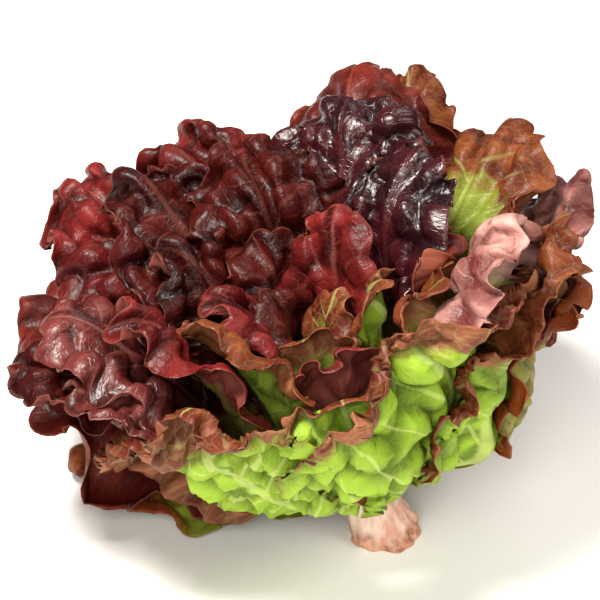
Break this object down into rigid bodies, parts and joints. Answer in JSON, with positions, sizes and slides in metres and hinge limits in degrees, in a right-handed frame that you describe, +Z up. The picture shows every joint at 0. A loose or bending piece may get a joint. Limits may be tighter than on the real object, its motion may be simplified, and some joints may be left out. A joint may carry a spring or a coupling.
{
  "type": "red leaf lettuce",
  "caption": "Loose head of red leaf lettuce with ruffled, blistered leaves round a cut stump, lying tilted on its cut face and lowest leaves.",
  "frame": {"origin": "centre of the stump's cut face, where the head stands", "axes": "+Z up from the surface that the head lies on, +X to the right and +Y to the back of the pictured view; the stem leans towards -X"},
  "size_m": [0.2624, 0.2519, 0.1692],
  "materials": {
    "stump": "moist cut stem, pinkish white, with torn orange-brown flakes at the cut",
    "burgundy_leaf": "fresh blistered leaf, glossy dark burgundy inside, duller red-brown outside, green towards its root",
    "bronze_leaf": "fresh blistered leaf, reddish brown with a green middle",
    "green_leaf": "fresh crumpled leaf, yellow-green with pale ribs and a reddish-brown margin"
  },
  "bodies": {
    "root": {"stump": "stump", "inner_leaf_01": "green_leaf", "inner_leaf_02": "burgundy_leaf", "inner_leaf_03": "bronze_leaf", "inner_leaf_04": "burgundy_leaf", "inner_leaf_05": "burgundy_leaf", "inner_leaf_06": "burgundy_leaf", "inner_leaf_07": "burgundy_leaf", "inner_leaf_08": "bronze_leaf", "middle_leaf_01": "bronze_leaf", "middle_leaf_02": "burgundy_leaf", "middle_leaf_03": "burgundy_leaf", "middle_leaf_04": "burgundy_leaf", "middle_leaf_05": "burgundy_leaf", "middle_leaf_06": "burgundy_leaf", "middle_leaf_07": "bronze_leaf", "middle_leaf_08": "burgundy_leaf", "middle_leaf_09": "burgundy_leaf", "middle_leaf_10": "burgundy_leaf", "middle_leaf_11": "bronze_leaf", "outer_leaf_01": "burgundy_leaf", "outer_leaf_02": "burgundy_leaf", "outer_leaf_03": "burgundy_leaf", "outer_leaf_04": "burgundy_leaf", "outer_leaf_05": "burgundy_leaf", "outer_leaf_06": "burgundy_leaf", "outer_leaf_07": "green_leaf", "outer_leaf_08": "green_leaf", "outer_leaf_09": "burgundy_leaf", "outer_leaf_10": "burgundy_leaf", "outer_leaf_11": "burgundy_leaf", "outer_leaf_12": "burgundy_leaf", "outer_leaf_13": "burgundy_leaf", "outer_leaf_14": "green_leaf", "outer_leaf_15": "burgundy_leaf", "outer_leaf_16": "burgundy_leaf", "outer_leaf_17": "burgundy_leaf", "outer_leaf_18": "bronze_leaf", "outer_leaf_19": "burgundy_leaf", "outer_leaf_20": "burgundy_leaf"}
  },
  "joints": []
}
